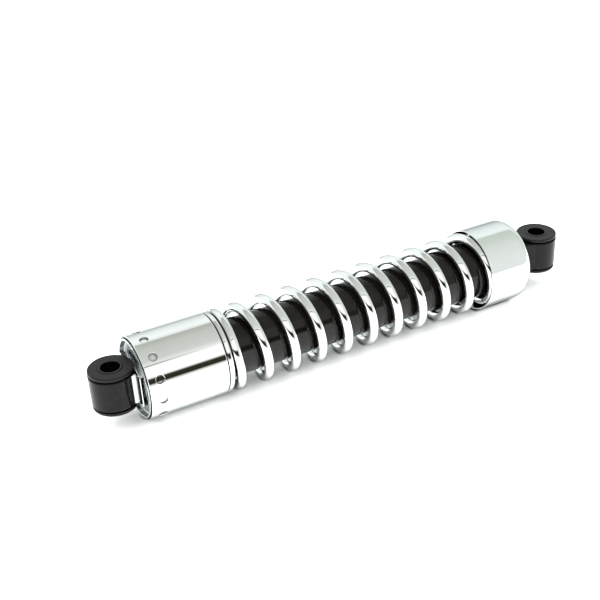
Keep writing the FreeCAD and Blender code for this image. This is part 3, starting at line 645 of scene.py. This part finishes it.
class SHOCK_OT_adjuster(bpy.types.Operator):
    """Chromed preload sleeve with its spanner holes, and the dish that closes it"""
    bl_idname = "shock.adjuster"
    bl_label = "Preload adjuster"

    def execute(self, context):
        sizes = context.scene.shock_adjuster
        self.sleeve(sizes)
        self.dish(sizes)
        return {"FINISHED"}

    def hole_tile(self, sizes, radius):
        """Grid of one tile: distance along X, distance round the sleeve and depth under its surface.

        Each column runs from the hole's middle over the floor, up the wall and over the rim along a ray, and
        ends on the tile's edge. The tile's edge points are evenly spaced so that neighbours meet.
        """
        half_round = math.pi * radius / sizes.holes
        long_side = np.linspace(-1, 1, 25)
        short_side = np.linspace(-1, 1, 17)
        edge = np.concatenate([
            np.stack([long_side[:-1] * 0 - 1, long_side[:-1]], -1),
            np.stack([short_side[:-1], short_side[:-1] * 0 + 1], -1),
            np.stack([long_side[:0:-1] * 0 + 1, long_side[:0:-1]], -1),
            np.stack([short_side[:0:-1], short_side[:0:-1] * 0 - 1], -1),
            [[-1, -1]]]) * (sizes.tile_half, half_round)
        ray = edge / np.linalg.norm(edge, axis=1, keepdims=True)
        rim = sizes.hole_rim
        foot = SMALL_ROUND
        inner = sizes.hole_radius
        depth = sizes.hole_depth
        bend = np.linspace(0, math.pi / 2, 6)
        reach = np.concatenate([[0, 0.5 * inner, 0.8 * inner], inner - foot + foot * np.sin(bend),
                                inner + rim - rim * np.cos(bend)])
        under = np.concatenate([[depth, depth, depth], depth - foot + foot * np.cos(bend),
                                rim - rim * np.sin(bend)])
        slope = np.concatenate([[0, 0, 0], bend, bend[::-1]])
        flat = reach[:, None, None] * ray
        spread = np.array([0.12, 0.35, 0.65, 1.0])[:, None, None]
        flat = np.concatenate([flat, flat[-1] + (edge - flat[-1]) * spread])
        under = np.concatenate([under, np.zeros(4)])[:, None] + 0 * flat[..., 0]
        slope = np.concatenate([slope, np.zeros(4)])[:, None]
        lean = np.stack([-np.sin(slope) * ray[:, 0], -np.sin(slope) * ray[:, 1],
                         np.cos(slope) + 0 * ray[:, 0]], -1)
        return flat, under, lean

    def sleeve(self, sizes):
        """A tube about X whose outside carries a ring of tiles, one for each spanner hole."""
        low, high = span("adjuster_sleeve")
        radius = high[2]
        bore = radius - sizes.wall
        middle = low[0] + sizes.hole_in
        near = middle - sizes.tile_half
        far = middle + sizes.tile_half
        columns = 24 * sizes.holes
        step = 2 * math.pi / sizes.holes
        plain = filleted([(far, radius), (high[0], radius), (high[0], bore), (low[0], bore), (low[0], radius),
                          (near, radius)], sizes.edge, closed=False)
        turns = circle(columns, sizes.hole_phase - step / 2)
        grids = [around_x(plain, turns)]
        tangent = np.gradient(plain, axis=0)
        tangent /= np.linalg.norm(tangent, axis=1, keepdims=True)
        outward = np.stack([tangent[:, 1], -tangent[:, 0]], -1)
        outward *= np.sign(outward[0, 1])
        outward[[0, -1]] = (0, 1)
        normals = [around_x(outward, turns)]
        flat, under, lean = self.hole_tile(sizes, radius)
        for k in range(sizes.holes):
            turn = sizes.hole_phase + k * step + flat[..., 1] / radius
            depth = radius - under
            tile = np.stack([middle + flat[..., 0], -depth * np.sin(turn), depth * np.cos(turn)], -1)
            facing = np.stack([lean[..., 0], -lean[..., 2] * np.sin(turn) - lean[..., 1] * np.cos(turn),
                               lean[..., 2] * np.cos(turn) - lean[..., 1] * np.sin(turn)], -1)
            grids.append(tile[:, ::-1])
            normals.append(facing[:, ::-1])
        solid("adjuster_sleeve_smooth", grids, "preload_adjuster", ["adjuster_sleeve"], chrome(),
              normals)

    def dish(self, sizes):
        """A pressed dish: flat floor, one bend and a short lip toward the eye."""
        low, high = span("end_dish")
        outer = high[2]
        wall = sizes.dish_wall
        outline = filleted([(high[0] - wall, sizes.dish_bore), (high[0], sizes.dish_bore), (high[0], outer),
                            (low[0], outer), (low[0], outer - wall), (high[0] - wall, outer - wall)],
                           [SMALL_ROUND, SMALL_ROUND, sizes.dish_bend, LIP_ROUND, LIP_ROUND,
                            sizes.dish_bend - wall],
                           steps=10)
        grid = around_x(looped(outline), circle(WIDE_STEPS))
        # the dish wears the zinc darkened with painted shade
        solid("end_dish_smooth", [grid], "damper_body", ["end_dish"], painted_shade_dish_zinc())


class SHOCK_OT_spring(bpy.types.Operator):
    """Chromed coil spring in two lengths, and the collar under it"""
    bl_idname = "shock.spring"
    bl_label = "Spring and collar"

    def execute(self, context):
        sizes = context.scene.shock_spring
        low, high = span("coil_spring")
        whole = sizes.turn + sizes.flat
        lower = self.wire(sizes, "coil_spring_lower", -sizes.flat, sizes.split, "spring_seat")
        upper = self.wire(sizes, "coil_spring_top", sizes.split, whole, "rod_assembly")
        split_x = self.height(sizes, np.array([sizes.split]), low[0], high[0])[0]
        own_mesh(lower)
        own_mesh(upper)
        self.collar(sizes)
        return {"FINISHED"}

    def reach(self, name):
        """Travel of a sliding joint."""
        return max(j["range_m"][1] for j in frame["joints"] if j["name"] == name)

    def height(self, sizes, turn, low, high):
        """Place along X of the wire's centre: flat on a seat, a parabola at the bend, then a steady climb."""
        first = low + sizes.wire_radius
        rate = (high - low - 2 * sizes.wire_radius) / sizes.turn

        def climb(u):
            bent = np.clip(u + sizes.bend, 0, 2 * sizes.bend) ** 2 / (4 * sizes.bend)
            return bent + np.maximum(u - sizes.bend, 0)

        return first + rate * (climb(turn) - climb(turn - sizes.turn))

    def wire(self, sizes, name, start, end, body):
        """A round wire swept along a helix about X.

        The centre is (x(t), -R sin t, R cos t). A section of radius w has its points at
        centre + w (cos b e + sin b (T x e)), where e is the outward radius and T the tangent. The first and
        last sections shrink to a point, which closes the ends with a small chamfer.
        """
        low, high = span("coil_spring")
        radius = high[2] - sizes.wire_radius
        sections = int((end - start) / math.radians(4.0))
        turn = np.linspace(start, end, sections)
        closing = np.array([0.0, 0.9, 1.0])
        scale = np.concatenate([closing, np.ones(sections - 2), closing[::-1]])[:, None, None]
        along = np.concatenate([[0, 0, WIRE_CHAMFER], np.zeros(sections - 2), [-WIRE_CHAMFER, 0, 0]])
        turn = np.concatenate([turn[[0, 0]], turn, turn[[-1, -1]]]) + along / radius
        around = circle(28)[None, :, None]
        angle_now = turn + sizes.start
        zero = 0 * turn
        centre = np.stack([self.height(sizes, turn, low[0], high[0]), -radius * np.sin(angle_now),
                           radius * np.cos(angle_now)], -1)
        outward = np.stack([zero, -np.sin(angle_now), np.cos(angle_now)], -1)
        step = 1e-4
        climb = (self.height(sizes, turn + step, low[0], high[0])
                 - self.height(sizes, turn - step, low[0], high[0])) / (2 * step)
        tangent = np.stack([climb, -radius * np.cos(angle_now), -radius * np.sin(angle_now)], -1)
        tangent /= np.linalg.norm(tangent, axis=1, keepdims=True)
        across = np.cross(tangent, outward)
        grid = centre[:, None] + scale * sizes.wire_radius * (
            np.cos(around) * outward[:, None] + np.sin(around) * across[:, None])
        return solid(name, [grid], body, ["coil_spring"], chrome())

    def collar(self, sizes):
        """A ring about X with a skirt and a pilot; its bore steps out by the keyway's depth over the key."""
        low, high = span("spring_collar")
        outer = high[2]
        seat = span("coil_spring")[0][0] - sizes.seat_gap
        face = seat - sizes.collar_thickness
        bore = span("damper_tube")[1][2] + 0.05 * MM
        skirt = bore + sizes.skirt_wall
        pilot = outer - sizes.pilot_inset
        small = SMALL_ROUND
        outside = filleted([(low[0], bore), (low[0], skirt), (face, skirt), (face, outer), (seat, outer),
                            (seat, pilot), (high[0], pilot), (high[0], bore)],
                           [0, small, small, sizes.collar_round, sizes.collar_round, small, small, 0],
                           closed=False)
        key = math.asin(sizes.key_half / bore)
        turns = np.concatenate([np.linspace(-key, key, 5), np.linspace(key, 2 * math.pi - key, 180)])
        depth = np.concatenate([np.full(5, sizes.key_depth), np.zeros(180)])
        inside = around_x([(high[0], bore), (low[0], bore)], turns)
        slot = np.where(depth[None, :, None] > 0, (bore + sizes.key_depth) / bore, 1.0)
        stretch = np.concatenate([np.ones_like(slot), slot, slot], -1)
        inside = inside * stretch
        outside = around_x(outside, turns)
        outside[[0, -1]] *= stretch[0]
        inside = inside[[0, 1]]
        solid("spring_collar_smooth", [outside, inside], "spring_seat", ["spring_collar"], chrome())


class SHOCK_OT_damper(bpy.types.Operator):
    """Gloss black tube of the damper"""
    bl_idname = "shock.damper"
    bl_label = "Damper tube"

    def execute(self, context):
        sizes = context.scene.shock_damper
        inner = span("damper_tube")[1][2] - sizes.wall
        grid = pipe("damper_tube", inner, sizes.edge)
        solid("damper_tube_smooth", [grid], "damper_body", ["damper_tube"], gloss_paint())
        return {"FINISHED"}


class SHOCK_OT_cover(bpy.types.Operator):
    """Chromed upper cover, dust tube, lock nut and bump stop"""
    bl_idname = "shock.cover"
    bl_label = "Upper cover"

    def execute(self, context):
        sizes = context.scene.shock_cover
        self.cover(sizes)
        self.dust_tube(sizes)
        self.nut(sizes)
        self.stop(sizes)
        return {"FINISHED"}

    def cover(self, sizes):
        """A cup about X with a round shoulder, open toward the spring."""
        low, high = span("upper_cover")
        outer = high[2]
        wall = sizes.wall
        inner = outer - wall
        outline = filleted([(low[0], inner), (low[0], outer), (high[0], outer), (high[0], sizes.rod_bore),
                            (high[0] - wall, sizes.rod_bore), (high[0] - wall, inner)],
                           [sizes.rim_round, sizes.rim_round, sizes.shoulder, SMALL_ROUND, SMALL_ROUND,
                            sizes.shoulder - wall], steps=14)
        grid = around_x(looped(outline), circle(WIDE_STEPS))
        solid("upper_cover_smooth", [grid], "rod_assembly", ["upper_cover"], chrome())

    def dust_tube(self, sizes):
        """A thin tube about X with rounded ends."""
        inner = span("dust_tube")[1][2] - sizes.dust_wall
        grid = pipe("dust_tube", inner, SMALL_ROUND)
        solid("dust_tube_smooth", [grid], "rod_assembly", ["dust_tube"], gloss_paint())

    def nut(self, sizes):
        """A hexagon about X, r = f / cos(t mod 60 deg - 30 deg), its corners cut by a 30 degree cone."""
        low, high = span("lock_nut")
        _, wide, tall = high - low
        flat = min(wide, tall) / 2
        turns = circle(180)
        phase = math.radians(30) if tall < wide else 0.0
        hexagon = flat / np.cos((turns + phase + math.radians(30)) % math.radians(60) - math.radians(30))
        cone = flat + 0.1 * MM
        cut = (hexagon - np.minimum(hexagon, cone)) * math.tan(math.radians(30))
        edge = sizes.nut_edge
        round_face = np.minimum(hexagon, cone)
        bore = np.full_like(turns, sizes.rod_bore + 0.02 * MM)
        level = 0 * turns
        rows = [(low[0] + level, bore), (low[0] + level, 0.97 * round_face),
                (low[0] + 0.3 * edge + level, round_face), (low[0] + edge + cut, hexagon),
                (low[0] + 2 * edge + cut, hexagon), (high[0] - 2 * edge - cut, hexagon),
                (high[0] - edge - cut, hexagon), (high[0] - 0.3 * edge + level, round_face),
                (high[0] + level, 0.97 * round_face), (high[0] + level, bore), (low[0] + level, bore)]
        grid = np.array([np.stack([x, -r * np.sin(turns), r * np.cos(turns)], -1) for x, r in rows])
        piece = solid("lock_nut_smooth", [grid], "rod_assembly", ["lock_nut"], zinc())
        piece.data.set_sharp_from_angle(angle=math.radians(25))

    def stop(self, sizes):
        """A bellows-shaped buffer about X: r = R - d (1 + cos(6 pi s)) / 2 with s from end to end."""
        low, high = span("bump_stop")
        s = np.linspace(0, 1, 49)
        radius = high[2] - sizes.stop_waist * (1 + np.cos(6 * math.pi * s)) / 2
        outside = np.stack([low[0] + (high[0] - low[0]) * s, radius], -1)
        outline = np.concatenate([[(low[0], sizes.stop_bore)], outside, [(high[0], sizes.stop_bore)]])
        grid = around_x(looped(outline), circle(96))
        piece = solid("bump_stop_smooth", [grid], "rod_assembly", ["bump_stop"], bump_foam())
        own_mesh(piece)


class SHOCK_OT_inside(bpy.types.Operator):
    """Finishes for the parts inside the damper and the adjuster"""
    bl_idname = "shock.inside"
    bl_label = "Inside parts"

    def execute(self, context):
        made = {"zinc_plate": zinc, "ground_steel": ground_steel, "guide_aluminium": aluminium,
                "bearing_bronze": bronze, "seal_rubber": seal, "piston_band": band, "chrome": chrome,
                "gloss_black_tube": gloss_paint, "eye_black": eye_paint, "bush_rubber": rubber,
                "sleeve_steel": sleeve_steel}
        for node in frame["nodes"].values():
            if node.hide_render:
                continue
            slot = node.data.materials[0].name.split(".")[0]
            if slot not in made:
                raise RuntimeError("no finish for the slot " + slot)
            node.data.materials.clear()
            node.data.materials.append(made[slot]())
        return {"FINISHED"}


# ---------------------------------------------------------------- studio
# Angle in degrees from straight up toward the front, and the light that comes from there, for the panels
# beside the lower end and for those beside the upper end. SKY_CHANGE is where along X one turns into the
# other.
LOWER_SKY = ((-90, (0.80, 0.86, 0.85)), (-76, (0.98, 1.05, 1.04)), (-42, (1.02, 1.08, 1.06)),
             (-34, (0.88, 0.92, 0.90)), (-28, (0.47, 0.49, 0.45)), (-10, (0.58, 0.60, 0.56)),
             (24, (0.66, 0.68, 0.65)), (34, (0.84, 0.86, 0.83)), (42, (1.12, 1.12, 1.10)),
             (66, (1.12, 1.12, 1.10)), (72, (0.84, 0.85, 0.82)), (90, (0.80, 0.81, 0.75)))
UPPER_SKY = ((-90, (0.80, 0.88, 0.88)), (-76, (0.96, 1.04, 1.04)), (-28, (0.95, 1.03, 1.00)),
             (-21, (0.60, 0.67, 0.61)), (-6, (0.62, 0.69, 0.62)), (20, (0.74, 0.78, 0.75)),
             (60, (0.82, 0.87, 0.84)), (90, (0.84, 0.87, 0.86)))
SKY_CHANGE = (0.38, 0.50)
# Dark cards: angles over which each begins and ends, where it ends along X, its tone and its strength.
DARK_CARDS = (
    {"from": (67, 72), "to": (83, 87), "end": (0.40, 0.49), "tone": (0.03, 0.028, 0.018), "strength": 1.0},
    {"from": (35.5, 36.5), "to": (38, 39.5), "end": (0.25, 0.31), "tone": (0.1, 0.1, 0.09), "strength": 0.8},
)
FLOOR_TINT = (0.93, 0.94, 0.94)


class SHOCK_OT_stage(bpy.types.Operator):
    """Pale floor, soft studio light and the camera"""
    bl_idname = "shock.stage"
    bl_label = "Studio"

    def execute(self, context):
        sizes = context.scene.shock_studio
        self.floor(sizes)
        self.sky(context.scene)
        self.overhead(sizes)
        self.camera(context.scene, sizes)
        context.scene.view_settings.view_transform = "Standard"
        return {"FINISHED"}

    def floor(self, sizes):
        """A wide disc that touches the lowest point of the object."""
        low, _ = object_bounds()
        turn = np.linspace(0, 2 * math.pi, 97)[:-1]
        points = np.stack([np.cos(turn), np.sin(turn), 0 * turn], -1) * sizes.floor_reach
        points[:, 2] = low[2]
        mesh = bpy.data.meshes.new("studio_floor")
        mesh.from_pydata(points.tolist(), [], [list(range(96))])
        floor = bpy.data.objects.new("studio_floor", mesh)
        bpy.context.scene.collection.objects.link(floor)
        # the paper's colour carries the painted crevice shade, a painted contact shadow close to the object
        paper = finish("studio_paper", FLOOR_TINT, shade(FLOOR_TINT, 0.99), 0.0, (0.85, 0.95), 300, 0.05,
                       wear_scale=3, specular=0.0)
        mesh.materials.append(paper)
        floor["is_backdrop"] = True

    def sky(self, scene):
        """Light panels all round, as bands at different angles about the X axis."""
        world = bpy.data.worlds.new("studio_panels")
        scene.world = world
        world.use_nodes = True
        tree = world.node_tree
        place = tree.nodes.new("ShaderNodeTexCoord")
        split = tree.nodes.new("ShaderNodeSeparateXYZ")
        tree.links.new(place.outputs["Generated"], split.inputs[0])
        turn = tree.nodes.new("ShaderNodeMath")
        turn.operation = "ARCTAN2"
        tree.links.new(product(tree, split.outputs["Y"], -1.0), turn.inputs[0])
        tree.links.new(split.outputs["Z"], turn.inputs[1])
        share = remap(tree, turn.outputs[0], math.radians(-90), math.radians(90), 0, 1)
        both = tree.nodes.new("ShaderNodeMix")
        both.data_type = "RGBA"
        tree.links.new(remap(tree, split.outputs["X"], *SKY_CHANGE, 0, 1), both.inputs["Factor"])
        tree.links.new(self.panels(tree, share, LOWER_SKY), both.inputs["A"])
        tree.links.new(self.panels(tree, share, UPPER_SKY), both.inputs["B"])
        light = both.outputs["Result"]
        for card in DARK_CARDS:
            tint = tree.nodes.new("ShaderNodeMix")
            tint.data_type = "RGBA"
            tint.inputs["B"].default_value = (*card["tone"], 1)
            tree.links.new(self.card(tree, turn.outputs[0], split.outputs["X"], card), tint.inputs["Factor"])
            tree.links.new(light, tint.inputs["A"])
            light = tint.outputs["Result"]
        back = tree.nodes["Background"]
        tree.links.new(light, back.inputs["Color"])

    def panels(self, tree, share, bands):
        """Light of a set of bands, blended from one to the next."""
        ramp = tree.nodes.new("ShaderNodeValToRGB")
        stops = ramp.color_ramp.elements
        for k, (degrees, light) in enumerate(bands):
            where = (degrees + 90) / 180
            if 0 < k < len(bands) - 1:
                stop = stops.new(where)
            else:
                stop = stops[0 if k == 0 else -1]
                stop.position = where
            stop.color = (*light, 1)
        tree.links.new(share, ramp.inputs["Fac"])
        return ramp.outputs["Color"]

    def card(self, tree, turn, along, card):
        """Share of the sky that a dark card hides: between two angles and up to an end along X."""
        rise = remap(tree, turn, *(math.radians(d) for d in card["from"]), 0, 1)
        fall = remap(tree, turn, *(math.radians(d) for d in card["to"]), 1, 0)
        end = remap(tree, along, *card["end"], 1, 0)
        return product(tree, end, product(tree, fall, product(tree, rise, card["strength"])))

    def overhead(self, sizes):
        """A wide soft light from above that brightens the floor and stays out of reflections."""
        light = bpy.data.lights.new("overhead_light", "SUN")
        light.energy = sizes.sun
        light.angle = sizes.sun_spread
        lamp = bpy.data.objects.new("overhead_light", light)
        lamp.rotation_euler = (math.radians(8), math.radians(-6), 0)
        lamp.visible_glossy = False
        bpy.context.scene.collection.objects.link(lamp)
        lamp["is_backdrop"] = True

    def camera(self, scene, sizes):
        """A camera that looks along its aim with the given right-hand direction."""
        lens = bpy.data.cameras.new("studio_camera")
        lens.lens = sizes.lens
        lens.sensor_width = 36.0
        lens.clip_start = 0.01
        camera = bpy.data.objects.new("studio_camera", lens)
        scene.collection.objects.link(camera)
        back = -Vector(sizes.camera_aim).normalized()
        right = Vector(sizes.camera_right).normalized()
        up = back.cross(right)
        turned = Matrix((right, up, back)).transposed().to_4x4()
        camera.matrix_world = Matrix.Translation(Vector(sizes.camera_place)) @ turned
        scene.camera = camera
        camera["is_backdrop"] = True


# ---------------------------------------------------------------- add-on
class SHOCK_PT_panel(bpy.types.Panel):
    """Sizes and steps of the shock absorber"""
    bl_label = "Shock absorber"
    bl_idname = "SHOCK_PT_panel"
    bl_space_type = "VIEW_3D"
    bl_region_type = "UI"
    bl_category = "Shock"

    def draw(self, context):
        for step in STEPS:
            self.layout.operator(step.bl_idname)
        for name in GROUPS:
            box = self.layout.box()
            group = getattr(context.scene, name)
            for value in group.bl_rna.properties.keys():
                if value not in ("rna_type", "name"):
                    box.prop(group, value)


GROUPS = {"shock_eye": EyeSizes, "shock_neck": NeckSizes, "shock_adjuster": AdjusterSizes,
          "shock_spring": SpringSizes, "shock_cover": CoverSizes, "shock_damper": DamperSizes,
          "shock_colours": FinishColours, "shock_studio": StudioSizes}
STEPS = (SHOCK_OT_eyes, SHOCK_OT_necks, SHOCK_OT_adjuster, SHOCK_OT_spring, SHOCK_OT_damper, SHOCK_OT_cover,
         SHOCK_OT_inside, SHOCK_OT_stage)


def register():
    for made in (*GROUPS.values(), *STEPS, SHOCK_PT_panel):
        bpy.utils.register_class(made)
    for name, group in GROUPS.items():
        setattr(bpy.types.Scene, name, PointerProperty(type=group))


def unregister():
    for name in GROUPS:
        delattr(bpy.types.Scene, name)
    for made in (SHOCK_PT_panel, *STEPS, *GROUPS.values()):
        bpy.utils.unregister_class(made)


def main():
    register()
    bpy.ops.shock.eyes()
    bpy.ops.shock.necks()
    bpy.ops.shock.adjuster()
    bpy.ops.shock.spring()
    bpy.ops.shock.damper()
    bpy.ops.shock.cover()
    bpy.ops.shock.inside()
    bpy.ops.shock.stage()


if __name__ == "__main__":
    main()
